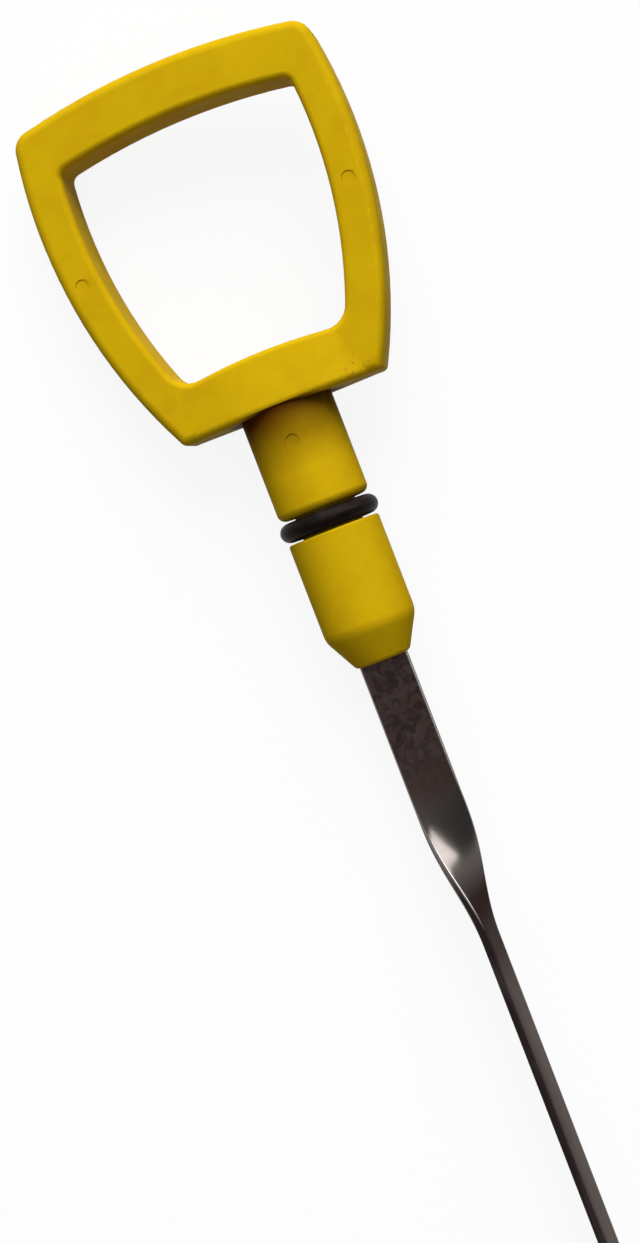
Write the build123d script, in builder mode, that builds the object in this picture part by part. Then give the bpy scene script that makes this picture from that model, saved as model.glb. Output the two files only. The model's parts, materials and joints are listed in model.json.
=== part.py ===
from build123d import *

import os
from math import asin, cos, degrees, hypot, pi, radians, sin, sqrt

# Engine oil dipstick, in millimetres.
#
# A moulded plastic handle (finger ring, stem and sealing plug in one), a rubber seal ring in the plug's groove,
# and a spring-steel blade whose tang is moulded into the stem. Below the plug the blade takes a quarter turn.
# +X runs along the dipstick towards the blade's tip, +Z is up, and the origin is the middle of the plug.
# The dipstick lies as it comes to rest: on the seal ring, the blade's tip and one side of the finger ring.

# Plug and stem
plug_diameter = 11.5
plug_length = 12.35
plug_shoulder_radius = 3.0
nose_length = 4.36
nose_diameter = 6.8
nose_edge_radius = 0.8
stem_length = 12.8
groove_width = 2.9
groove_stem_lip = 1.0
groove_plug_lip = 0.3

# Seal ring
seal_outer_diameter = 12.5
seal_section = 2.4
seal_seat_clearance = 0.02
seal_side_clearance = 0.25

# Finger ring
ring_width = 40.0
ring_height = 43.73
ring_depth = 8.0
ring_widest_height = 29.45
ring_side_radius = 63.2
ring_top_radius = 87.0
ring_side_bar = 4.8
ring_top_bar = 6.45
ring_foot_bar = 7.0
ring_foot_arch = 0.1
ring_outer_edge = 1.2
ring_opening_edge = 0.8
ring_top_corner = 2.5
ring_foot_corner = 0.8
opening_top_corner = 1.2
opening_foot_corner = 3.0
opening_foot_arch = 0.35

# Swelling of the ring's foot around the stem, in depth, a hair back from the wall of the opening
foot_depth = 12.4
foot_depth_at_opening = 10.6
foot_swell_sink = 0.25
foot_swell_setback = 0.05
foot_lip_radius = 0.8

# Round marks that the mould's ejector pins left on the upper face: one on each side bar and one on the stem
pin_mark_diameter = 1.7
pin_mark_depth = 0.12
ring_pin_from_foot = 22.25
stem_pin_from_groove = 8.5

# Blade
blade_width = 6.1
blade_thickness = 1.0
blade_edge_radius = 0.2
blade_length_below_nose = 254.0
blade_flat_length = 13.7
twist_length = 22.5
twist_angle = 83.0
twist_sections = 12
tang_length = 27.0
tang_clearance = 0.02
anchor_hole_diameter = 2.6
anchor_hole_from_end = 5.0
level_hole_diameter = 1.8
low_mark_from_tip = 14.0
mark_spacing = 18.0

# Stations along the axis, from the middle of the plug
plug_radius = plug_diameter / 2
plug_start = -plug_length / 2
plug_end = plug_length / 2
nose_end = plug_end + nose_length
groove_start = plug_start - groove_width
stem_start = groove_start - stem_length
foot_edge = stem_start + ring_foot_arch
opening_foot = stem_start - ring_foot_bar
ring_widest = foot_edge - ring_widest_height
ring_top = foot_edge - ring_height
seal_radius = (seal_outer_diameter - seal_section) / 2
seal_centre = plug_start - seal_side_clearance - seal_section / 2
groove_radius = seal_radius - seal_section / 2 - seal_seat_clearance
tang_start = nose_end - tang_length
anchor_hole = tang_start + anchor_hole_from_end
twist_start = nose_end + blade_flat_length
twist_end = twist_start + twist_length
blade_tip = nose_end + blade_length_below_nose
tip_radius = blade_width / 2
low_mark = blade_tip - low_mark_from_tip
full_mark = low_mark - mark_spacing

# Centre of each side arc of the ring, across the axis, and half the ring's width at its foot
side_arc_centre = ring_side_radius - ring_width / 2
foot_half_width = sqrt(ring_side_radius**2 - ring_widest_height**2) - side_arc_centre
foot_arch_radius = (foot_half_width**2 + ring_foot_arch**2) / (2 * ring_foot_arch)
opening_foot_half = foot_half_width - ring_side_bar
opening_arch_radius = (opening_foot_half**2 + opening_foot_arch**2) / (2 * opening_foot_arch)
stem_overlap = ring_outer_edge / 2
ring_pin = foot_edge - ring_pin_from_foot
ring_pin_offset = sqrt((ring_side_radius - ring_side_bar / 2)**2 - (ring_pin - ring_widest)**2) - side_arc_centre
stem_pin = groove_start - stem_pin_from_groove

# The foot's swelling runs out just under the ring's faces, short of their rounded outer edges
foot_swell_half = foot_half_width - ring_outer_edge
foot_swell_rise = (foot_depth - ring_depth) / 2 + foot_swell_sink
foot_swell_radius = (foot_swell_half**2 + foot_swell_rise**2) / (2 * foot_swell_rise)


def pitch_at(roll):
    """Angle by which the axis falls towards the tip, when seal ring and blade edge both touch the ground."""
    lean = radians(90 - twist_angle) + roll
    tip_height = (
        (blade_width / 2 - blade_edge_radius) * cos(lean)
        + (blade_thickness / 2 - blade_edge_radius) * sin(lean)
        + blade_edge_radius
    )
    return asin((seal_outer_diameter / 2 - tip_height) / (blade_tip - tip_radius - seal_centre))


def ring_side_height(roll):
    """Height above the ground of the lowest point of the ring's lower side, at that roll."""
    pitch = pitch_at(roll)
    edge = ring_outer_edge
    axis_height = seal_outer_diameter / 2 + (seal_centre - ring_widest) * sin(pitch)
    arc_reach = (ring_side_radius - edge) * hypot(sin(pitch), sin(roll) * cos(pitch))
    face_reach = (ring_depth / 2 - edge) * cos(roll) * cos(pitch)
    return axis_height + side_arc_centre * sin(roll) * cos(pitch) - arc_reach - face_reach - edge


# The roll at which the ring's side comes to the ground, found by halving
roll_low = 0.0
roll_high = pi / 4
for halving in range(40):
    roll = (roll_low + roll_high) / 2
    if ring_side_height(roll) > 0:
        roll_low = roll
    else:
        roll_high = roll
pitch = pitch_at(roll)

# Plane of the finger ring as the dipstick lies: x along the axis, y across the ring
lying = Plane.XY.rotated((degrees(roll), degrees(pitch), 0), Extrinsic.XYZ)
axis = Axis(lying.origin, lying.x_dir)


def across(station, turn=0.0):
    """Plane square to the axis at a station, with x across the ring, turned about the axis by an angle."""
    place = lying.from_local_coords(Vector(station, 0, 0))
    return Plane(place, x_dir=lying.y_dir.rotate(axis, turn), z_dir=lying.x_dir)


# Swelling of the ring's foot: two long arcs back to back, deeper at the stem than at the opening
with BuildPart() as foot_swell:
    for station, depth in ((opening_foot, foot_depth_at_opening), (foot_edge, foot_depth)):
        with BuildSketch(across(station)):
            with Locations((0, depth / 2 - foot_swell_radius)):
                Circle(foot_swell_radius)
            with Locations((0, foot_swell_radius - depth / 2)):
                Circle(foot_swell_radius, mode=Mode.INTERSECT)
            Rectangle(2 * foot_swell_half, foot_depth, mode=Mode.INTERSECT)
    loft()
    with BuildSketch(lying):
        with Locations((opening_foot + foot_swell_setback + opening_arch_radius, 0)):
            Circle(opening_arch_radius)
        with Locations((stem_start + foot_arch_radius, 0)):
            Circle(foot_arch_radius, mode=Mode.SUBTRACT)
    extrude(amount=foot_depth, both=True, mode=Mode.INTERSECT)
    ends = foot_swell.edges().filter_by(lambda e: abs(e.tangent_at(0.5).dot(lying.y_dir)) > 0.9)
    ends = ends.sort_by(axis)
    fillet(ends[:2], ring_opening_edge)
    ends = foot_swell.edges().filter_by(lambda e: abs(e.tangent_at(0.5).dot(lying.y_dir)) > 0.9)
    fillet(ends.sort_by(axis)[-2:], foot_lip_radius)


with BuildPart() as handle:
    # Finger ring: arched sides and top, and a foot with a slight arch
    with BuildSketch(lying) as ring_outline:
        with Locations((ring_widest, side_arc_centre)):
            Circle(ring_side_radius)
        with Locations((ring_widest, -side_arc_centre)):
            Circle(ring_side_radius, mode=Mode.INTERSECT)
        with Locations((ring_top + ring_top_radius, 0)):
            Circle(ring_top_radius, mode=Mode.INTERSECT)
        with Locations((stem_start + foot_arch_radius, 0)):
            Circle(foot_arch_radius, mode=Mode.SUBTRACT)
        corners = ring_outline.vertices().sort_by(Axis.X)
        fillet(corners[:2], ring_top_corner)
        corners = ring_outline.vertices().sort_by(Axis.X)
        fillet(corners[-2:], ring_foot_corner)
    extrude(amount=ring_depth / 2, both=True)

    with BuildSketch(lying) as opening_outline:
        with Locations((ring_widest, side_arc_centre)):
            Circle(ring_side_radius - ring_side_bar)
        with Locations((ring_widest, -side_arc_centre)):
            Circle(ring_side_radius - ring_side_bar, mode=Mode.INTERSECT)
        with Locations((ring_top + ring_top_radius, 0)):
            Circle(ring_top_radius - ring_top_bar, mode=Mode.INTERSECT)
        with Locations((opening_foot + opening_arch_radius, 0)):
            Circle(opening_arch_radius, mode=Mode.SUBTRACT)
        corners = opening_outline.vertices().sort_by(Axis.X)
        fillet(corners[:2], opening_top_corner)
        corners = opening_outline.vertices().sort_by(Axis.X)
        fillet(corners[-2:], opening_foot_corner)
    extrude(amount=ring_depth, both=True, mode=Mode.SUBTRACT)

    flats = handle.faces().filter_by(Axis(lying.origin, lying.z_dir))
    fillet([edge for flat in flats for edge in flat.outer_wire().edges()], ring_outer_edge)
    flats = handle.faces().filter_by(Axis(lying.origin, lying.z_dir))
    fillet([edge for flat in flats for wire in flat.inner_wires() for edge in wire.edges()], ring_opening_edge)
    add(foot_swell.part)

    # Stem, seal groove, plug and nose
    with BuildSketch(lying) as stem_profile:
        with BuildLine():
            Polyline(
                (stem_start - stem_overlap, 0),
                (stem_start - stem_overlap, plug_radius),
                (groove_start, plug_radius),
                (groove_start, groove_radius),
                (plug_start, groove_radius),
                (plug_start, plug_radius),
                (plug_end, plug_radius),
                (nose_end, nose_diameter / 2),
                (nose_end, 0),
                close=True,
            )
        make_face()
        rim = stem_profile.vertices().group_by(Axis.Y)[-1].sort_by(Axis.X)
        fillet(rim[1], groove_stem_lip)
        rim = stem_profile.vertices().group_by(Axis.Y)[-1].sort_by(Axis.X)
        fillet(rim[2], groove_plug_lip)
        rim = stem_profile.vertices().group_by(Axis.Y)[-1].sort_by(Axis.X)
        fillet(rim[-1], plug_shoulder_radius)
        nose_corners = stem_profile.vertices().group_by(Axis.X)[-1].sort_by(Axis.Y)
        fillet(nose_corners[-1], nose_edge_radius)
    revolve(axis=axis)

    # Ejector pin marks
    with BuildSketch(lying.offset(ring_depth / 2)):
        with Locations((ring_pin, ring_pin_offset), (ring_pin, -ring_pin_offset)):
            Circle(pin_mark_diameter / 2)
    extrude(amount=-pin_mark_depth, mode=Mode.SUBTRACT)
    with BuildSketch(lying.offset(plug_radius)):
        with Locations((stem_pin, 0)):
            Circle(pin_mark_diameter / 2)
    extrude(amount=-pin_mark_depth, mode=Mode.SUBTRACT)

    # Slot around the tang, with a peg of the moulding left standing in the tang's anchor hole
    with BuildSketch(lying):
        with Locations((tang_start, 0)):
            Rectangle(
                tang_length + nose_length,
                blade_width + 2 * tang_clearance,
                align=(Align.MIN, Align.CENTER),
            )
        with Locations((anchor_hole, 0)):
            Circle(anchor_hole_diameter / 2 - tang_clearance, mode=Mode.SUBTRACT)
    extrude(amount=blade_thickness / 2 + tang_clearance, both=True, mode=Mode.SUBTRACT)


with BuildPart() as seal_ring:
    with BuildSketch(lying):
        with Locations((seal_centre, seal_radius)):
            Circle(seal_section / 2)
    revolve(axis=axis)


with BuildPart() as blade:
    # Flat stretch: the tang in the stem and the run below the nose
    with BuildSketch(across(tang_start)):
        RectangleRounded(blade_width, blade_thickness, blade_edge_radius)
    extrude(amount=twist_start - tang_start)

    # Twist, which starts and ends gently
    for section in range(twist_sections + 1):
        share = section / twist_sections
        turn = -twist_angle * (1 - cos(pi * share)) / 2
        with BuildSketch(across(twist_start + share * twist_length, turn)):
            RectangleRounded(blade_width, blade_thickness, blade_edge_radius)
    loft()

    # Straight run on edge, down to the tip
    with BuildSketch(across(twist_end, -twist_angle)):
        RectangleRounded(blade_width, blade_thickness, blade_edge_radius)
    extrude(amount=blade_tip - twist_end)

    # Rounded tip and the two level holes, square to the lower run's broad face
    lower_face = Plane(lying.origin, x_dir=lying.x_dir, z_dir=across(blade_tip, -twist_angle).y_dir)
    with BuildSketch(lower_face):
        with Locations((blade_tip, 0)):
            Rectangle(2 * tip_radius, 2 * blade_width)
        with Locations((blade_tip - tip_radius, 0)):
            Circle(tip_radius, mode=Mode.SUBTRACT)
        with Locations((low_mark, 0), (full_mark, 0)):
            Circle(level_hole_diameter / 2)
    extrude(amount=blade_thickness, both=True, mode=Mode.SUBTRACT)

    # Anchor hole in the tang
    with BuildSketch(lying):
        with Locations((anchor_hole, 0)):
            Circle(anchor_hole_diameter / 2)
    extrude(amount=blade_thickness, both=True, mode=Mode.SUBTRACT)


os.makedirs("parts", exist_ok=True)
handle.part.label = "handle"
export_step(handle.part, "parts/handle.step")
seal_ring.part.label = "seal_ring"
export_step(seal_ring.part, "parts/seal_ring.step")
blade.part.label = "blade"
export_step(blade.part, "parts/blade.step")
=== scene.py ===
import json
from math import asin, cos, degrees, pi, radians, sin

import bmesh
import bpy
from bpy.props import FloatProperty, FloatVectorProperty, PointerProperty
from mathutils import Matrix, Quaternion, Vector


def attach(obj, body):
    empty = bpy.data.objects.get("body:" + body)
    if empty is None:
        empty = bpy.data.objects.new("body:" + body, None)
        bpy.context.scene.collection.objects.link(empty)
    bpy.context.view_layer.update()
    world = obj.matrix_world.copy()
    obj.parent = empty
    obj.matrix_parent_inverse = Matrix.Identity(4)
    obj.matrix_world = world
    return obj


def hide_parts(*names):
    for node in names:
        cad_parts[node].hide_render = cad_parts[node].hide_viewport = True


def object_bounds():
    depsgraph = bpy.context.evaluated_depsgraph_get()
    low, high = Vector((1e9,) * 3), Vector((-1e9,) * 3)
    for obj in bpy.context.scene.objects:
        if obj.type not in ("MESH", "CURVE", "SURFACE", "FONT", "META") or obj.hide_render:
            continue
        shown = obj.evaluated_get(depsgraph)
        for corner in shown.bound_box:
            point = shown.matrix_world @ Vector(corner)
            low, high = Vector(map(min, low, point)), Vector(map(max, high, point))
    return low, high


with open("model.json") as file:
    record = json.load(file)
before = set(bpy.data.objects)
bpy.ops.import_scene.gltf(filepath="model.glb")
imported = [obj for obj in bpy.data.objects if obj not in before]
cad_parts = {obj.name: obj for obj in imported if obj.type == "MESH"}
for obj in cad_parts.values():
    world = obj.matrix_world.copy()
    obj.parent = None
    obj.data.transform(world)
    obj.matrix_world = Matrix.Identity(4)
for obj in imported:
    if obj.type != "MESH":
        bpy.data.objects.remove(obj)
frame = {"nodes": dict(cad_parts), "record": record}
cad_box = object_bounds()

bl_info = {
    "name": "Engine oil dipstick",
    "version": (1, 0, 0),
    "blender": (4, 5, 0),
    "location": "View3D > Sidebar > Dipstick",
    "description": "Dresses the dipstick's moulded handle, rubber seal ring and twisted steel blade",
    "category": "Object",
}

MM = 0.001
ABOVE = Vector((0.0, 0.0, 1.0))
WHITE = (1.0, 1.0, 1.0, 1.0)

# The dipstick lies tilted: its axis falls towards the tip, and the finger ring leans on one side
PLUG_AXIS = Vector(frame["record"]["mounts"][0]["axis"])
REST_PITCH = degrees(asin(-PLUG_AXIS.z))
REST_ROLL = 8.482552

# Clean-up of meshes: points this close become one, edges this short go, and folds this sharp stay creases
WELD_DISTANCE = 0.002 * MM
SHORTEST_EDGE = 0.0005 * MM
HANDLE_CREASE = radians(32.0)
BLADE_CREASE = radians(40.0)

# Fineness of the grown meshes. An even number of cuts across the strip keeps its columns off the holes'
# middles.
RUN_STEPS = 520
TIP_STEPS = 20
ACROSS_CUTS = 8
EDGE_STEPS = 4
DRILL_SIDES = 48
RING_STEPS = 180
SECTION_STEPS = 96

# Names that are written in one place and looked up in another
STRIP = "strip"
BLOTCHES = "Blotches"
FINE_GRAIN = "Fine grain"


def length(name, description, millimetres):
    """A length setting, given in millimetres and kept in metres."""
    return FloatProperty(
        name=name, description=description, default=millimetres * MM, unit="LENGTH", precision=5
    )


def colour(name, description, value):
    """A colour setting, as scene-linear red, green and blue."""
    return FloatVectorProperty(
        name=name, description=description, default=value, size=3, min=0.0, max=1.0, subtype="COLOR"
    )


def angle(name, description, value):
    """An angle setting, given in degrees and kept in radians."""
    return FloatProperty(name=name, description=description, default=radians(value), subtype="ANGLE")


def watts(name, description, value):
    """A lamp's power setting."""
    return FloatProperty(name=name, description=description, default=value, unit="POWER")


def number(name, description, value):
    """A setting without a unit, such as a brightness or a share."""
    return FloatProperty(name=name, description=description, default=value, precision=3)


class DipstickRest(bpy.types.PropertyGroup):
    """How the dipstick lies"""

    roll: angle("Roll", "Lean of the finger ring about the axis", REST_ROLL)
    pitch: angle("Pitch", "Fall of the axis towards the tip", REST_PITCH)


class DipstickHandle(bpy.types.PropertyGroup):
    """Sizes and colours of the moulded handle"""

    stem_start: length("Stem start", "Station at which the stem leaves the ring's foot", -21.875)
    # The stain below the foot is old oil with the foot's shadow on the stem painted into it
    stain_and_shadow_length: length("Stain length", "How far the oil stain runs down from the foot", 8.0)
    stain_and_shadow_overlap: length("Stain overlap", "How far the oil stain reaches up past the stem's start", 0.3)
    stain_and_shadow_reach: length("Stain reach", "Distance from the axis at which the stain ends", 7.8)
    stain_and_shadow_edge: length("Stain edge", "Width over which the stain ends", 1.6)
    # Painted shade: the stain is made heavier on the stem's side that faces away from the light
    less_shade_side: length("Light side", "Place across the stem where the stain is lightest", 3.0)
    more_shade_side: length("Heavy side", "Place across the stem where the stain is heaviest", -4.5)
    nick_station: length("Nick station", "Place of the nicks along the foot", -23.2)
    nick_side: length("Nick side", "Place of the nicks across the foot", 10.4)
    nick_height: length("Nick height", "Height of the nicks above the axis", 5.0)
    nick_spread: length("Nick spread", "Radius of the patch of nicks", 2.6)
    gloss: number("Gloss", "Shine of the plastic, low because its upright walls mirror the floor", 0.004)
    yellow: colour("Yellow", "Clean moulded face", (0.675, 0.435, 0.004))
    deep_yellow: colour("Deep yellow", "Slightly browner patches in the plastic", (0.60, 0.355, 0.004))
    # This brown is also the painted shadow that the foot throws on the stem
    oil_and_shadow_brown: colour("Oil brown", "Old oil soaked in below the ring's foot", (0.085, 0.022, 0.002))
    grime: colour("Grime", "Dirt in nicks and scuffs", (0.085, 0.05, 0.014))


class DipstickSeal(bpy.types.PropertyGroup):
    """Sizes and colours of the seal ring"""

    centre_radius: length("Centre radius", "Radius of the ring's centre line", 5.05)
    section: length("Section", "Thickness of the ring", 2.397)
    station: length("Station", "Place of the ring along the axis", -7.625)
    flash: length("Flash", "Height of the mould's parting line", 0.03)
    flash_width: length("Flash width", "Width of the mould's parting line", 0.09)
    gloss: number("Gloss", "Shine of the rubber", 0.05)
    black: colour("Black", "Clean rubber", (0.008, 0.0046, 0.0042))
    dust: colour("Dust", "Greyish bloom on the rubber", (0.02, 0.0125, 0.012))


class DipstickBlade(bpy.types.PropertyGroup):
    """Sizes and colours of the twisted blade"""

    start: length("Start", "Station of the tang's end inside the stem", -16.465)
    tip: length("Tip", "Station of the blade's tip", 264.515)
    width: length("Width", "Width of the strip", 6.098)
    thickness: length("Thickness", "Thickness of the strip", 1.0)
    edge_radius: length("Edge radius", "Rounding of the strip's long edges", 0.2)
    twist_start: length("Twist start", "Station where the twist begins", 24.235)
    twist_length: length("Twist length", "Length of the twist", 22.5)
    twist_angle: angle("Twist angle", "Turn of the lower run", 83.0)
    hole: length("Level hole", "Diameter of the two level holes", 1.8)
    low_mark: length("Low mark", "Station of the low level hole", 250.535)
    mark_spacing: length("Mark spacing", "Distance from the low to the full hole", 18.0)
    anchor_hole: length("Anchor hole", "Diameter of the hole in the tang", 2.6)
    anchor: length("Anchor", "Station of the hole in the tang", -11.465)
    dried_end: length("Dried oil end", "Station where the dried oil on the flat ends", 31.0)
    dried_fade: length("Dried oil fade", "Length over which the dried oil ends", 4.0)
    fleck_end: length("Fleck end", "Station where the dark flecks on the flat end", 28.0)
    fleck_fade: length("Fleck fade", "Length over which the flecks end", 8.0)
    film_start: length("Film start", "Station where the dark film on the twist starts", 35.0)
    film_growth: length("Film growth", "Length over which the film on the twist starts", 6.0)
    film_end: length("Film end", "Station where the dark film on the twist ends", 56.0)
    film_fade: length("Film fade", "Length over which the film on the twist ends", 8.0)
    film_creep: length("Film creep", "How far the film creeps from the upper edge onto the broad sides", 3.0)
    lower_start: length("Lower start", "Station where the lower run's film and smears start", 46.0)
    lower_growth: length("Lower growth", "Length over which the lower run's film and smears start", 8.0)
    # The bright edges are partly wear and partly a painted highlight along the rounded edges
    rubbed_and_highlit_end: length("Rubbed end", "Station where the rubbed edges end", 45.0)
    rubbed_and_highlit_fade: length("Rubbed fade", "Length over which the rubbed edges end", 4.0)
    brush_turn: angle("Brush turn", "Slant of the brushed grain", 28.0)
    brush_stretch: number("Brush stretch", "Fineness of the brushed grain along its strokes", 0.12)
    steel: colour("Steel", "Bare strip", (0.134, 0.122, 0.115))
    stain: colour("Stain", "Dried oil on the strip", (0.102, 0.061, 0.055))
    # This colour paints a highlight along the rounded edges as well as their wear
    worn_and_highlit: colour("Worn edge", "Rounded edges that the guide tube rubbed bright", (0.27, 0.252, 0.246))
    film: colour("Film", "Thin dark oil on the twist and the lower edges", (0.04, 0.029, 0.028))
    glance: colour("Glance", "Tint of the steel where it is seen at a flat angle", (0.44, 0.42, 0.41))


class DipstickStage(bpy.types.PropertyGroup):
    """Camera, floor and lamps"""

    camera_height: length("Camera height", "Height of the camera above the axis", 300.0)
    camera_x: length("Camera X", "Place of the camera along the dipstick", 3.53)
    camera_y: length("Camera Y", "Place of the camera across the dipstick", -5.49)
    picture_turn: angle("Picture turn", "Slant of the dipstick in the picture", 21.11)
    lens: FloatProperty(
        name="Lens", description="Focal length for a 36 mm long side", default=72.3, unit="CAMERA"
    )
    nearest: length("Nearest", "Distance at which the camera starts to see", 10.0)
    farthest: length("Farthest", "Distance up to which the camera sees", 20000.0)
    floor_half: length("Floor half", "Half the side of the square floor", 12000.0)
    floor_white: colour("Floor", "Pale floor", (0.95, 0.95, 0.95))
    floor_bounce: colour("Floor bounce", "Light that the floor throws on the dipstick", (0.14, 0.137, 0.134))
    floor_glow: number("Floor glow", "Share of even white in the floor, which thins the shadow", 0.9)
    floor_roughness: number("Floor roughness", "Roughness of the floor", 0.9)
    ceiling_left: number("Ceiling left", "Brightness of the ceiling on the picture's left", 0.42)
    ceiling_right: number("Ceiling right", "Brightness of the ceiling on the picture's right", 0.19)
    haze_low: number("Haze low", "Brightness of the soft light from the horizon", 0.06)
    haze_high: number("Haze high", "Brightness of the soft light from straight above", 0.35)
    lamp_distance: length("Lamp distance", "Distance of the lamps from the plug", 1500.0)
    key_watts: watts("Key lamp", "Power of the main soft lamp", 31.5)
    key_side: length("Key side", "Side of the main soft lamp's square", 1300.0)
    key_height: angle("Key height", "Angle of the main lamp above the floor", 34.0)
    key_turn: angle("Key turn", "Turn of the main lamp from the picture's right", 97.0)
    window_watts: watts("Window", "Power of the panel that the steel mirrors", 19.0)
    window_wide: length("Window width", "Width of the panel that the steel mirrors", 660.0)
    window_tall: length("Window height", "Height of the panel that the steel mirrors", 1460.0)
    window_rise: angle("Window rise", "Angle of the panel above the floor", 36.0)
    window_turn: angle("Window turn", "Turn of the panel from the picture's right", 43.0)
    window_lean: angle("Window lean", "Lean of the panel's top to the left, seen from the dipstick", 37.0)


class DipstickSettings(bpy.types.PropertyGroup):
    """All settings of the dipstick"""

    rest: PointerProperty(type=DipstickRest)
    handle: PointerProperty(type=DipstickHandle)
    seal: PointerProperty(type=DipstickSeal)
    blade: PointerProperty(type=DipstickBlade)
    stage: PointerProperty(type=DipstickStage)


def shown(group):
    """A group's settings by the names that they show, which the geometry trees' inputs share."""
    return {group.bl_rna.properties[key].name: getattr(group, key) for key in type(group).__annotations__}


def lying(rest):
    """Turn from the dipstick's own axes to how it lies."""
    return Matrix.Rotation(rest.pitch, 4, "Y") @ Matrix.Rotation(rest.roll, 4, "X")


def put(tree, kind, inputs=None, **settings):
    """Adds a node, sets its settings, and fills its inputs with values or with links from sockets."""
    node = tree.nodes.new(kind)
    for name, value in settings.items():
        setattr(node, name, value)
    for key, value in (inputs or {}).items():
        if isinstance(value, bpy.types.NodeSocket):
            tree.links.new(value, node.inputs[key])
        else:
            node.inputs[key].default_value = value
    return node


def calc(tree, operation, *terms):
    """Adds a Math node and returns its result."""
    return put(tree, "ShaderNodeMath", dict(enumerate(terms)), operation=operation).outputs[0]


def vector_calc(tree, operation, *terms):
    """Adds a Vector Math node and returns its results by name."""
    return put(tree, "ShaderNodeVectorMath", dict(enumerate(terms)), operation=operation).outputs


def chain(tree, operation, first, *others):
    """Joins any number of terms by one operation, such as multiplying them all or taking the highest."""
    for other in others:
        first = calc(tree, operation, first, other)
    return first


def fade(tree, value, start, end, low=0.0, high=1.0, soft=False):
    """Goes from low to high while a value goes from start to end, and stays there beyond."""
    return put(
        tree,
        "ShaderNodeMapRange",
        {"Value": value, "From Min": start, "From Max": end, "To Min": low, "To Max": high},
        interpolation_type="SMOOTHSTEP" if soft else "LINEAR",
    ).outputs[0]


def open_tree(name, kind, inputs, outputs):
    """Makes a node group with named sockets, and returns it with its inputs by name and its output node."""
    tree = bpy.data.node_groups.new(name, kind)
    for socket, socket_type in inputs:
        tree.interface.new_socket(name=socket, in_out="INPUT", socket_type=socket_type)
    for socket, socket_type in outputs:
        tree.interface.new_socket(name=socket, in_out="OUTPUT", socket_type=socket_type)
    return tree, put(tree, "NodeGroupInput").outputs, put(tree, "NodeGroupOutput")


def open_shape(name, *sizes):
    """Makes a geometry tree that takes sizes, how the dipstick lies, and a material."""
    inputs = [(size, "NodeSocketFloat") for size in (*sizes, "Roll", "Pitch")]
    inputs.append(("Material", "NodeSocketMaterial"))
    return open_tree(name, "GeometryNodeTree", inputs, [("Geometry", "NodeSocketGeometry")])


def close_shape(tree, given, made, geometry):
    """Lays a tree's result down as the dipstick lies, makes it plain mesh and gives it its material."""
    turn = put(tree, "ShaderNodeCombineXYZ", {0: given["Roll"], 1: given["Pitch"]}).outputs[0]
    laid = put(tree, "GeometryNodeTransform", {"Geometry": geometry, "Rotation": turn})
    smooth = put(tree, "GeometryNodeSetShadeSmooth", {"Geometry": laid.outputs[0]})
    real = put(tree, "GeometryNodeRealizeInstances", {"Geometry": smooth.outputs[0]})
    painted = put(tree, "GeometryNodeSetMaterial", {
        "Geometry": real.outputs[0], "Material": given["Material"]})
    tree.links.new(painted.outputs[0], made.inputs["Geometry"])


def grow(name, tree, values):
    """Runs a geometry tree on an empty object and returns the object with the result as a plain mesh."""
    thing = bpy.data.objects.new(name, bpy.data.meshes.new(name))
    bpy.context.scene.collection.objects.link(thing)
    modifier = thing.modifiers.new(tree.name, "NODES")
    modifier.node_group = tree
    for socket in tree.interface.items_tree:
        if socket.in_out == "INPUT":
            modifier[socket.identifier] = values[socket.name]
    settle(thing)
    return thing


def settle(thing):
    """Turns an object's modifiers into plain mesh."""
    bpy.context.view_layer.update()
    shaped = thing.evaluated_get(bpy.context.evaluated_depsgraph_get())
    mesh = bpy.data.meshes.new_from_object(shaped)
    thing.modifiers.clear()
    thing.data = mesh
    mesh.name = thing.name


def split_many_sided(thing):
    """Splits the many-sided faces at ends and holes into clean triangles."""
    shape = bmesh.new()
    shape.from_mesh(thing.data)
    many_sided = [face for face in shape.faces if len(face.verts) > 4]
    bmesh.ops.triangulate(shape, faces=many_sided, quad_method="BEAUTY", ngon_method="BEAUTY")
    bmesh.ops.dissolve_degenerate(shape, dist=SHORTEST_EDGE, edges=shape.edges)
    shape.to_mesh(thing.data)
    shape.free()


def dress(thing, node):
    """Hands a finished piece to the frame: it is parented to the root body and stands for that CAD node,
    which is hidden.
    """
    if not thing.data.polygons:
        raise RuntimeError(f"{thing.name} came out empty")
    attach(thing, "root")
    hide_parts(node)


def blotch_group():
    """Shader group: soft-edged patches, as of stains or uneven colour."""
    tree, given, made = open_tree(
        BLOTCHES,
        "ShaderNodeTree",
        [("Vector", "NodeSocketVector")] + [(name, "NodeSocketFloat") for name in ("Scale", "From", "To")],
        [("Mask", "NodeSocketFloat")],
    )
    noise = put(tree, "ShaderNodeTexNoise", {
        "Vector": given["Vector"], "Scale": given["Scale"],
        "Detail": 3.0, "Roughness": 0.55, "Distortion": 0.6})
    mask = fade(tree, noise.outputs[0], given["From"], given["To"], soft=True)
    tree.links.new(mask, made.inputs["Mask"])
    return tree


def grain_group():
    """Shader group: fine unevenness of a surface, as a height."""
    scales = ("Coarse scale", "Fine scale")
    tree, given, made = open_tree(
        FINE_GRAIN,
        "ShaderNodeTree",
        [("Vector", "NodeSocketVector")] + [(name, "NodeSocketFloat") for name in (*scales, "Fine share")],
        [("Height", "NodeSocketFloat")],
    )
    coarse, fine = (put(tree, "ShaderNodeTexNoise", {
        "Vector": given["Vector"], "Scale": given[scale], "Detail": 2.0}).outputs[0] for scale in scales)
    tree.links.new(calc(tree, "MULTIPLY_ADD", fine, given["Fine share"], coarse), made.inputs["Height"])
    return tree


def blotches(tree, place, per_metre, starts, full):
    """Soft patches on a surface: how fine, and the levels of noise at which they start and are full."""
    group = bpy.data.node_groups.get(BLOTCHES) or blotch_group()
    inputs = {"Vector": place, "Scale": per_metre, "From": starts, "To": full}
    return put(tree, "ShaderNodeGroup", inputs, node_tree=group).outputs["Mask"]


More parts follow.
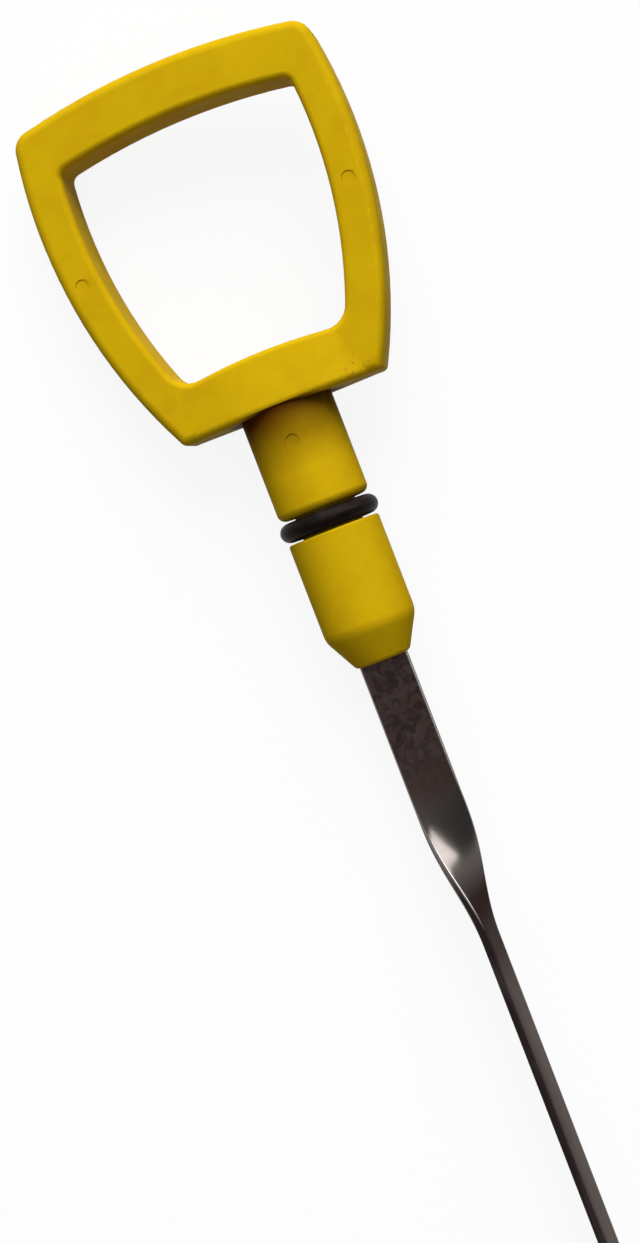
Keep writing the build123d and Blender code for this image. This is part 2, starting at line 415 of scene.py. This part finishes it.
def roughen(tree, shader, place, coarse, fine, fine_share, strength, depth):
    """Lets fine grain roughen a shader's surface."""
    group = bpy.data.node_groups.get(FINE_GRAIN) or grain_group()
    inputs = {"Vector": place, "Coarse scale": coarse, "Fine scale": fine, "Fine share": fine_share}
    height = put(tree, "ShaderNodeGroup", inputs, node_tree=group).outputs["Height"]
    bump = put(tree, "ShaderNodeBump", {"Height": height, "Strength": strength, "Distance": depth})
    tree.links.new(bump.outputs[0], shader.inputs["Normal"])


def new_material(name):
    """A new material, its node tree and its shader."""
    material = bpy.data.materials.new(name)
    material.use_nodes = True
    tree = material.node_tree
    return material, tree, tree.nodes["Principled BSDF"]


def mixed(tree, factor, first, second):
    """A colour that goes from the first to the second by a factor."""
    node = put(tree, "ShaderNodeMix", {"Factor": factor}, data_type="RGBA")
    # The node's sockets for colours come after those for numbers and vectors
    for socket, value in ((node.inputs[6], first), (node.inputs[7], second)):
        if isinstance(value, bpy.types.NodeSocket):
            tree.links.new(value, socket)
        else:
            socket.default_value = (*value, 1.0)
    return node.outputs[2]


def seen_directly(tree):
    """1 for what the camera sees, straight or in a shiny or clear surface, and 0 for light that spreads."""
    path = put(tree, "ShaderNodeLightPath").outputs
    return chain(tree, "MAXIMUM", path["Is Camera Ray"], path["Is Glossy Ray"], path["Is Transmission Ray"])


def yellow_plastic(handle, rest):
    """Moulded yellow plastic: slightly uneven colour, old oil below the foot with the foot's shadow on the
    stem painted in, and dirty nicks.
    """
    material, tree, shader = new_material("Yellow plastic")
    place = put(tree, "ShaderNodeTexCoord").outputs["Object"]
    along, side, _ = put(tree, "ShaderNodeSeparateXYZ", {0: place}).outputs

    # Uneven colour of the clean plastic
    patch_share, mottle_share = 0.5, 0.25
    patches = blotches(tree, place, per_metre=150.0, starts=0.35, full=0.75)
    mottle = blotches(tree, place, per_metre=620.0, starts=0.4, full=0.7)
    uneven = calc(tree, "MULTIPLY_ADD", mottle, mottle_share, calc(tree, "MULTIPLY", patches, patch_share))
    clean = mixed(tree, uneven, handle.yellow, handle.deep_yellow)

    # Old oil on the stem only, with the foot's shadow painted in: darkest at the foot, and with painted
    # shade heavier on one side
    stain_and_shade_patch_share = 0.12
    down = fade(tree, along, handle.stem_start + handle.stain_and_shadow_length, handle.stem_start)
    below = calc(tree, "GREATER_THAN", along, handle.stem_start - handle.stain_and_shadow_overlap)
    across = vector_calc(tree, "MULTIPLY", place, (0.0, 1.0, 1.0))["Vector"]
    from_axis = vector_calc(tree, "LENGTH", across)["Value"]
    on_stem = fade(tree, from_axis, handle.stain_and_shadow_reach, handle.stain_and_shadow_reach - handle.stain_and_shadow_edge)
    # Painted shade: the stem's side away from the light gets more of the dark brown
    heavier_on_shaded_side = fade(tree, side, handle.less_shade_side, handle.more_shade_side, low=0.92, high=1.08)
    weight = calc(tree, "MULTIPLY_ADD", patches, stain_and_shade_patch_share, heavier_on_shaded_side)
    soaked_and_shaded = chain(tree, "MULTIPLY", down, below, on_stem, weight)
    stained_and_shaded = mixed(tree, calc(tree, "MINIMUM", soaked_and_shaded, 1.0), clean, handle.oil_and_shadow_brown)

    # Nicks at one end of the foot, with dirt in them
    dirt_share = 0.8
    nicks = lying(rest) @ Vector((handle.nick_station, handle.nick_side, handle.nick_height))
    from_nicks = vector_calc(tree, "DISTANCE", place, nicks)["Value"]
    near = fade(tree, from_nicks, handle.nick_spread, 0.0, soft=True)
    specks = blotches(tree, place, per_metre=1500.0, starts=0.6, full=0.68)
    dirt = chain(tree, "MULTIPLY", near, specks, dirt_share)
    tree.links.new(mixed(tree, dirt, stained_and_shaded, handle.grime), shader.inputs["Base Color"])

    roughness = fade(tree, uneven, 0.0, 1.0, low=0.44, high=0.56)
    tree.links.new(roughness, shader.inputs["Roughness"])
    shader.inputs["Specular IOR Level"].default_value = handle.gloss
    roughen(tree, shader, place, coarse=260.0, fine=2600.0, fine_share=0.25, strength=0.25, depth=0.08 * MM)
    return material


def black_rubber(seal):
    """Black rubber with a faint bloom."""
    material, tree, shader = new_material("Black rubber")
    place = put(tree, "ShaderNodeTexCoord").outputs["Object"]
    bloom = blotches(tree, place, per_metre=420.0, starts=0.45, full=0.75)
    tree.links.new(mixed(tree, bloom, seal.black, seal.dust), shader.inputs["Base Color"])
    roughness = fade(tree, bloom, 0.0, 1.0, low=0.42, high=0.6)
    tree.links.new(roughness, shader.inputs["Roughness"])
    shader.inputs["Specular IOR Level"].default_value = seal.gloss
    roughen(tree, shader, place, coarse=900.0, fine=5200.0, fine_share=0.5, strength=0.2, depth=0.03 * MM)
    return material


def spring_steel(blade):
    """Rolled steel strip: brushed, with dried oil on its flat, a dark film below and edges rubbed bright,
    with a painted highlight along them.
    """
    material, tree, shader = new_material("Spring steel")
    attribute = put(tree, "ShaderNodeAttribute", attribute_name=STRIP, attribute_type="GEOMETRY")
    strip = attribute.outputs["Vector"]
    along, over, through = put(tree, "ShaderNodeSeparateXYZ", {0: strip}).outputs
    brushed = put(tree, "ShaderNodeMapping", {
        "Vector": strip, "Rotation": (0.0, 0.0, blade.brush_turn), "Scale": (blade.brush_stretch, 1.0, 1.0),
    }).outputs[0]
    half_width, half_thickness = blade.width / 2, blade.thickness / 2
    lower = fade(tree, along, blade.lower_start, blade.lower_start + blade.lower_growth)

    # Dried oil: all over the flat, and as smears on the lower run
    even_share, patchy_share, smear_share = 0.6, 0.3, 0.25
    stains = blotches(tree, strip, per_metre=330.0, starts=0.32, full=0.56)
    upper = fade(tree, along, blade.dried_end, blade.dried_end - blade.dried_fade, low=0.1)
    dried = calc(tree, "MULTIPLY", calc(tree, "MULTIPLY_ADD", stains, patchy_share, even_share), upper)
    smears = chain(tree, "MULTIPLY", stains, lower, smear_share)
    oil = calc(tree, "MAXIMUM", dried, smears)

    # Dark flecks on the flat, and a dark film all over the lower twist
    flecks = blotches(tree, strip, per_metre=950.0, starts=0.4, full=0.62)
    fleck_share = fade(tree, along, blade.fleck_end, blade.fleck_end - blade.fleck_fade, low=0.05, high=0.75)
    flecked = calc(tree, "MULTIPLY", flecks, fleck_share)
    film_starts = fade(tree, along, blade.film_start, blade.film_start + blade.film_growth)
    film_ends = fade(tree, along, blade.film_end, blade.film_end - blade.film_fade)
    filmed = calc(tree, "MULTIPLY", film_starts, film_ends)

    # The same film on the lower run: on its edges, thinner near the broad side that shows, creeping from the
    # upper edge onto the broad sides, and in streaks all over
    streak_share, oily_side = 0.22, -0.8 * half_thickness
    on_edge = calc(tree, "GREATER_THAN", calc(tree, "ABSOLUTE", over), half_width - blade.edge_radius)
    thinned = fade(tree, through, half_thickness, oily_side, low=0.5)
    creeping = fade(tree, over, blade.film_creep - half_width, -half_width, high=0.5)
    edge_film = calc(tree, "MAXIMUM", calc(tree, "MULTIPLY", on_edge, thinned), creeping)
    streaks = blotches(tree, brushed, per_metre=1100.0, starts=0.4, full=0.62)
    streaked = calc(tree, "MULTIPLY_ADD", streaks, streak_share, edge_film)
    lower_film = calc(tree, "MINIMUM", calc(tree, "MULTIPLY", streaked, lower), 1.0)
    dark = chain(tree, "MAXIMUM", flecked, filmed, lower_film)
    oily = mixed(tree, dark, mixed(tree, oil, blade.steel, blade.stain), blade.film)

    # Rounded edges made bright down to the twist: partly rubbed wear, partly a painted highlight of the
    # light along them
    depth = calc(tree, "ABSOLUTE", through)
    at_corner = calc(tree, "GREATER_THAN", depth, half_thickness - blade.edge_radius)
    rubbed_and_highlit = fade(tree, along, blade.rubbed_and_highlit_end, blade.rubbed_and_highlit_end - blade.rubbed_and_highlit_fade)
    worn_and_highlit = chain(tree, "MULTIPLY", on_edge, at_corner, rubbed_and_highlit)
    tree.links.new(mixed(tree, worn_and_highlit, oily, blade.worn_and_highlit), shader.inputs["Base Color"])

    roughness = fade(tree, calc(tree, "MAXIMUM", oil, dark), 0.0, 1.0, low=0.2, high=0.32)
    tree.links.new(roughness, shader.inputs["Roughness"])
    shader.inputs["Metallic"].default_value = 1.0
    shader.inputs["Specular Tint"].default_value = (*blade.glance, 1.0)
    roughen(tree, shader, brushed, coarse=1500.0, fine=6000.0, fine_share=0.6, strength=0.3, depth=0.02 * MM)
    return material


def on_axis(tree, station):
    """A place on the dipstick's axis."""
    return put(tree, "ShaderNodeCombineXYZ", {0: station}).outputs[0]


def drill(tree, across, depth):
    """A round cutter of a diameter and a depth, standing across the strip."""
    radius = calc(tree, "MULTIPLY", across, 0.5)
    sizes = {"Vertices": DRILL_SIDES, "Radius": radius, "Depth": depth}
    return put(tree, "GeometryNodeMeshCylinder", sizes).outputs[0]


def blade_tree():
    """Geometry tree: a strip that takes an eased quarter turn and ends in a rounded tip, with its holes."""
    tree, given, made = open_shape(
        "Twisted blade", "Start", "Tip", "Width", "Thickness", "Edge radius", "Twist start", "Twist length",
        "Twist angle", "Level hole", "Low mark", "Mark spacing", "Anchor hole", "Anchor")
    place = put(tree, "GeometryNodeInputPosition").outputs[0]

    # Stations: even steps down the run, then closer and closer around the tip, up to a last narrow section
    last_section = 0.985 * pi / 2
    tip_radius = calc(tree, "MULTIPLY", given["Width"], 0.5)
    run_end = calc(tree, "SUBTRACT", given["Tip"], tip_radius)
    index = put(tree, "GeometryNodeInputIndex").outputs[0]
    run_share = calc(tree, "MINIMUM", calc(tree, "DIVIDE", index, RUN_STEPS), 1.0)
    run_length = calc(tree, "SUBTRACT", run_end, given["Start"])
    run = calc(tree, "MULTIPLY_ADD", run_length, run_share, given["Start"])
    past = calc(tree, "MAXIMUM", calc(tree, "SUBTRACT", index, RUN_STEPS), 0.0)
    bow = calc(tree, "SINE", calc(tree, "MULTIPLY", past, last_section / TIP_STEPS))
    station = calc(tree, "MULTIPLY_ADD", bow, tip_radius, run)
    line = put(tree, "GeometryNodeCurvePrimitiveLine", {"Start": (0.0, 0.0, 0.0), "End": (1.0, 0.0, 0.0)})
    steps = put(tree, "GeometryNodeResampleCurve", {
        "Curve": line.outputs[0], "Count": RUN_STEPS + TIP_STEPS + 1}, mode="COUNT")
    spine = put(tree, "GeometryNodeSetPosition", {
        "Geometry": steps.outputs[0], "Position": on_axis(tree, station)})

    # Section with rounded edges and its broad sides cut into columns, swept along the stations
    nearly_half = 0.4999
    section = put(tree, "GeometryNodeCurvePrimitiveQuadrilateral", {
        "Width": given["Width"], "Height": given["Thickness"]}, mode="RECTANGLE")
    rounded = put(tree, "GeometryNodeFilletCurve", {
        "Curve": section.outputs[0], "Count": EDGE_STEPS, "Radius": given["Edge radius"]}, mode="POLY")
    wide, high, _ = put(tree, "ShaderNodeSeparateXYZ", {0: place}).outputs
    side_height = calc(tree, "MULTIPLY", given["Thickness"], nearly_half)
    on_side = calc(tree, "GREATER_THAN", calc(tree, "ABSOLUTE", high), side_height)
    side_starts = calc(tree, "GREATER_THAN", calc(tree, "MULTIPLY", wide, high), 0.0)
    columns = put(tree, "GeometryNodeSubdivideCurve", {
        "Curve": rounded.outputs[0], "Cuts": chain(tree, "MULTIPLY", on_side, side_starts, ACROSS_CUTS)})
    swept = put(tree, "GeometryNodeCurveToMesh", {
        "Curve": spine.outputs[0], "Profile Curve": columns.outputs[0], "Fill Caps": True})

    # Holes through the flat strip: two level marks and the tang's anchor
    drill_depth = calc(tree, "MULTIPLY", given["Thickness"], 3.0)
    back = calc(tree, "MULTIPLY", given["Mark spacing"], -1.0)
    marks = put(tree, "GeometryNodeMeshLine", {
        "Count": 2, "Start Location": on_axis(tree, given["Low mark"]), "Offset": on_axis(tree, back)})
    level_drills = put(tree, "GeometryNodeInstanceOnPoints", {
        "Points": marks.outputs[0], "Instance": drill(tree, given["Level hole"], drill_depth)})
    real_drills = put(tree, "GeometryNodeRealizeInstances", {"Geometry": level_drills.outputs[0]})
    anchor_drill = put(tree, "GeometryNodeTransform", {
        "Geometry": drill(tree, given["Anchor hole"], drill_depth),
        "Translation": on_axis(tree, given["Anchor"])})
    drills = put(tree, "GeometryNodeJoinGeometry")
    for cutter in (real_drills, anchor_drill):
        tree.links.new(cutter.outputs[0], drills.inputs[0])
    holed = put(tree, "GeometryNodeMeshBoolean", {
        "Mesh 1": swept.outputs[0], "Mesh 2": drills.outputs[0]}, operation="DIFFERENCE", solver="EXACT")

    # Places on the flat strip, kept for its finish. Drilling drops such values, so they are stored after it.
    kept = put(tree, "GeometryNodeStoreNamedAttribute", {
        "Geometry": holed.outputs[0], "Name": STRIP, "Value": place},
        data_type="FLOAT_VECTOR", domain="POINT")

    # Rounded tip, then the turn
    x, y, z = put(tree, "ShaderNodeSeparateXYZ", {0: place}).outputs
    beyond = calc(tree, "DIVIDE", calc(tree, "MAXIMUM", calc(tree, "SUBTRACT", x, run_end), 0.0), tip_radius)
    taper = calc(tree, "SQRT", calc(tree, "SUBTRACT", 1.0, calc(tree, "MULTIPLY", beyond, beyond)))
    tapered = put(tree, "ShaderNodeCombineXYZ", {0: x, 1: calc(tree, "MULTIPLY", y, taper), 2: z}).outputs[0]
    into_twist = calc(tree, "SUBTRACT", x, given["Twist start"])
    twist_share = calc(tree, "DIVIDE", into_twist, given["Twist length"])
    share = put(tree, "ShaderNodeClamp", {0: twist_share}).outputs[0]
    ease = calc(tree, "MULTIPLY_ADD", calc(tree, "COSINE", calc(tree, "MULTIPLY", share, pi)), 0.5, -0.5)
    turn = calc(tree, "MULTIPLY", ease, given["Twist angle"])
    turned = put(tree, "ShaderNodeVectorRotate", {"Vector": tapered, "Angle": turn}, rotation_type="X_AXIS")
    twisted = put(tree, "GeometryNodeSetPosition", {
        "Geometry": kept.outputs[0], "Position": turned.outputs[0]})
    close_shape(tree, given, made, twisted.outputs[0])
    return tree


def seal_tree():
    """Geometry tree: a round ring about the axis, with the mould's parting line around its outside."""
    tree, given, made = open_shape(
        "Seal ring", "Centre radius", "Section", "Station", "Flash", "Flash width")

    # Round section swept about the axis
    circle = put(tree, "GeometryNodeCurvePrimitiveCircle", {
        "Resolution": RING_STEPS, "Radius": given["Centre radius"]}, mode="RADIUS")
    about_axis = put(tree, "GeometryNodeTransform", {
        "Geometry": circle.outputs[0], "Rotation": (0.0, pi / 2, 0.0),
        "Translation": on_axis(tree, given["Station"])})
    body = calc(tree, "SUBTRACT", calc(tree, "MULTIPLY", given["Section"], 0.5), given["Flash"])
    section = put(tree, "GeometryNodeCurvePrimitiveCircle", {
        "Resolution": SECTION_STEPS, "Radius": body}, mode="RADIUS")
    swept = put(tree, "GeometryNodeCurveToMesh", {
        "Curve": about_axis.outputs[0], "Profile Curve": section.outputs[0]})

    # Parting line: a low ridge around the outside
    place = put(tree, "GeometryNodeInputPosition").outputs[0]
    x, y, z = put(tree, "ShaderNodeSeparateXYZ", {0: place}).outputs
    out = calc(tree, "SQRT", calc(tree, "MULTIPLY_ADD", y, y, calc(tree, "MULTIPLY", z, z)))
    off = calc(tree, "DIVIDE", calc(tree, "SUBTRACT", x, given["Station"]), given["Flash width"])
    crest = calc(tree, "EXPONENT", chain(tree, "MULTIPLY", off, off, -1.0))
    outside = calc(tree, "GREATER_THAN", out, given["Centre radius"])
    push = calc(tree, "DIVIDE", chain(tree, "MULTIPLY", crest, outside, given["Flash"]), out)
    outward = put(tree, "ShaderNodeCombineXYZ", {
        1: calc(tree, "MULTIPLY", y, push), 2: calc(tree, "MULTIPLY", z, push)})
    ridged = put(tree, "GeometryNodeSetPosition", {
        "Geometry": swept.outputs[0], "Offset": outward.outputs[0]})
    close_shape(tree, given, made, ridged.outputs[0])
    return tree


class DIPSTICK_OT_handle(bpy.types.Operator):
    """Makes the moulded handle"""

    bl_idname = "dipstick.handle"
    bl_label = "Handle"

    def execute(self, context):
        settings = context.scene.dipstick
        mesh = frame["nodes"]["handle"].data.copy()
        shape = bmesh.new()
        shape.from_mesh(mesh)
        bmesh.ops.remove_doubles(shape, verts=shape.verts, dist=WELD_DISTANCE)
        for face in shape.faces:
            face.smooth = True
        shape.to_mesh(mesh)
        shape.free()
        # The mesh's own normals go, so that the shading can be evened
        if "custom_normal" in mesh.attributes:
            mesh.attributes.remove(mesh.attributes["custom_normal"])
        mesh.set_sharp_from_angle(angle=HANDLE_CREASE)
        mesh.materials.clear()
        mesh.materials.append(yellow_plastic(settings.handle, settings.rest))
        thing = bpy.data.objects.new("moulded_handle", mesh)
        context.scene.collection.objects.link(thing)
        even = thing.modifiers.new("Even shading", "WEIGHTED_NORMAL")
        even.keep_sharp = True
        settle(thing)
        dress(thing, "handle")
        return {"FINISHED"}


class DIPSTICK_OT_seal_ring(bpy.types.Operator):
    """Makes the rubber seal ring"""

    bl_idname = "dipstick.seal_ring"
    bl_label = "Seal ring"

    def execute(self, context):
        settings = context.scene.dipstick
        values = {**shown(settings.seal), **shown(settings.rest), "Material": black_rubber(settings.seal)}
        thing = grow("rubber_seal_ring", seal_tree(), values)
        dress(thing, "seal_ring")
        return {"FINISHED"}


class DIPSTICK_OT_blade(bpy.types.Operator):
    """Makes the twisted steel blade"""

    bl_idname = "dipstick.blade"
    bl_label = "Blade"

    def execute(self, context):
        settings = context.scene.dipstick
        values = {**shown(settings.blade), **shown(settings.rest), "Material": spring_steel(settings.blade)}
        thing = grow("twisted_blade", blade_tree(), values)
        split_many_sided(thing)
        thing.data.set_sharp_from_angle(angle=BLADE_CREASE)
        dress(thing, "blade")
        return {"FINISHED"}


class DIPSTICK_OT_stage(bpy.types.Operator):
    """Sets out the floor, lamps and camera"""

    bl_idname = "dipstick.stage"
    bl_label = "Stage"

    def execute(self, context):
        scene = context.scene
        stage = scene.dipstick.stage
        right = Vector((sin(stage.picture_turn), cos(stage.picture_turn), 0.0))
        up = Vector((-cos(stage.picture_turn), sin(stage.picture_turn), 0.0))

        def toward(turn, rise):
            """Direction from the plug, turned from the picture's right and raised from the floor."""
            return (right * cos(turn) + up * sin(turn)) * cos(rise) + ABOVE * sin(rise)

        self.floor(scene, stage)
        self.sky(scene, stage, right)
        key = self.lamp(scene, "Key", stage.key_watts, stage.key_side, stage.key_side)
        to_key = toward(stage.key_turn, stage.key_height)
        self.aim(key, to_key, stage.lamp_distance)
        window = self.lamp(scene, "Window", stage.window_watts, stage.window_wide, stage.window_tall)
        to_window = toward(stage.window_turn, stage.window_rise)
        self.aim(window, to_window, stage.lamp_distance, stage.window_lean)
        # Only shiny surfaces see the window, so that it brightens the steel's twist and hardly anything else
        window.visible_diffuse = False
        self.camera(scene, stage, right, up)
        scene.view_settings.view_transform = "Standard"
        return {"FINISHED"}

    def floor(self, scene, stage):
        """A pale floor that the camera and shiny steel see as white, with the object's shadow kept faint."""
        material, tree, shader = new_material("Pale floor")
        seen = seen_directly(tree)
        tree.links.new(mixed(tree, seen, stage.floor_bounce, stage.floor_white), shader.inputs["Base Color"])
        shader.inputs["Roughness"].default_value = stage.floor_roughness
        glow = put(tree, "ShaderNodeEmission", {"Color": WHITE, "Strength": 1.0})
        glow_share = calc(tree, "MULTIPLY", seen, stage.floor_glow)
        mix = put(tree, "ShaderNodeMixShader", {0: glow_share, 1: shader.outputs[0], 2: glow.outputs[0]})
        tree.links.new(mix.outputs[0], tree.nodes["Material Output"].inputs["Surface"])
        half, ground = stage.floor_half, cad_box[0].z
        corners = [(x * half, y * half, ground) for x, y in ((-1, -1), (1, -1), (1, 1), (-1, 1))]
        mesh = bpy.data.meshes.new("Floor")
        mesh.from_pydata(corners, [], [(0, 1, 2, 3)])
        mesh.materials.append(material)
        floor = bpy.data.objects.new("Floor", mesh)
        scene.collection.objects.link(floor)

    def sky(self, scene, stage, right):
        """Soft light all around. The steel mirrors white walls and a ceiling that is dimmer on the right."""
        world = bpy.data.worlds.new("Studio")
        scene.world = world
        world.use_nodes = True
        tree = world.node_tree
        toward = put(tree, "ShaderNodeTexCoord").outputs["Generated"]
        height = put(tree, "ShaderNodeSeparateXYZ", {0: toward}).outputs["Z"]
        side = vector_calc(tree, "DOT_PRODUCT", toward, right)["Value"]
        # Where the ceiling dims from left to right and the walls pass into it, as parts of a unit direction
        dims_from, dims_to = -0.3, 0.4
        walls_end, ceiling_starts = 0.05, 0.45
        ceiling = fade(tree, side, dims_from, dims_to, low=stage.ceiling_left, high=stage.ceiling_right)
        walls = fade(tree, height, walls_end, ceiling_starts, low=1.0, high=ceiling, soft=True)
        haze = fade(tree, height, 0.0, 1.0, low=stage.haze_low, high=stage.haze_high, soft=True)
        strength = put(tree, "ShaderNodeMix", {
            "Factor": seen_directly(tree), 2: haze, 3: walls}, data_type="FLOAT")
        background = tree.nodes["Background"]
        tree.links.new(strength.outputs[0], background.inputs["Strength"])
        background.inputs["Color"].default_value = WHITE

    def lamp(self, scene, name, power, wide, tall):
        """A soft rectangular lamp."""
        light = bpy.data.lights.new(name, "AREA")
        light.shape = "RECTANGLE"
        light.size = wide
        light.size_y = tall
        light.energy = power
        thing = bpy.data.objects.new(name, light)
        scene.collection.objects.link(thing)
        return thing

    def aim(self, lamp, toward, distance, lean=0.0):
        """Sets a lamp off from the plug in a direction, facing it, with its top leaning to the left."""
        lamp.location = toward * distance
        facing = (-toward).to_track_quat("-Z", "Y")
        about_facing = Quaternion((0.0, 0.0, 1.0), -lean)
        lamp.rotation_euler = (facing @ about_facing).to_euler()

    def camera(self, scene, stage, right, up):
        """A camera that looks straight down, turned as in the photo."""
        camera = bpy.data.objects.new("Camera", bpy.data.cameras.new("Camera"))
        scene.collection.objects.link(camera)
        camera.data.lens = stage.lens
        camera.data.clip_start = stage.nearest
        camera.data.clip_end = stage.farthest
        place = Vector((stage.camera_x, stage.camera_y, stage.camera_height))
        camera.matrix_world = Matrix((
            (right.x, up.x, 0.0, place.x),
            (right.y, up.y, 0.0, place.y),
            (right.z, up.z, 1.0, place.z),
            (0.0, 0.0, 0.0, 1.0),
        ))
        scene.camera = camera


class DIPSTICK_PT_panel(bpy.types.Panel):
    """Lists the dipstick's pieces and settings"""

    bl_idname = "DIPSTICK_PT_panel"
    bl_label = "Engine oil dipstick"
    bl_space_type = "VIEW_3D"
    bl_region_type = "UI"
    bl_category = "Dipstick"

    def draw(self, context):
        for operator in OPERATORS:
            self.layout.operator(operator.bl_idname)
        settings = context.scene.dipstick
        for group in (settings.rest, settings.handle, settings.seal, settings.blade, settings.stage):
            box = self.layout.box()
            for key in type(group).__annotations__:
                box.prop(group, key)


OPERATORS = (DIPSTICK_OT_handle, DIPSTICK_OT_seal_ring, DIPSTICK_OT_blade, DIPSTICK_OT_stage)
CLASSES = (DipstickRest, DipstickHandle, DipstickSeal, DipstickBlade, DipstickStage, DipstickSettings,
           *OPERATORS, DIPSTICK_PT_panel)


def register():
    """Adds the dipstick's settings, operators and panel to Blender."""
    for cls in CLASSES:
        bpy.utils.register_class(cls)
    bpy.types.Scene.dipstick = PointerProperty(type=DipstickSettings)


def unregister():
    """Takes them out again."""
    del bpy.types.Scene.dipstick
    for cls in reversed(CLASSES):
        bpy.utils.unregister_class(cls)


def main():
    """Makes the pieces and the stage."""
    register()
    bpy.ops.dipstick.handle()
    bpy.ops.dipstick.seal_ring()
    bpy.ops.dipstick.blade()
    bpy.ops.dipstick.stage()


if __name__ == "__main__":
    main()
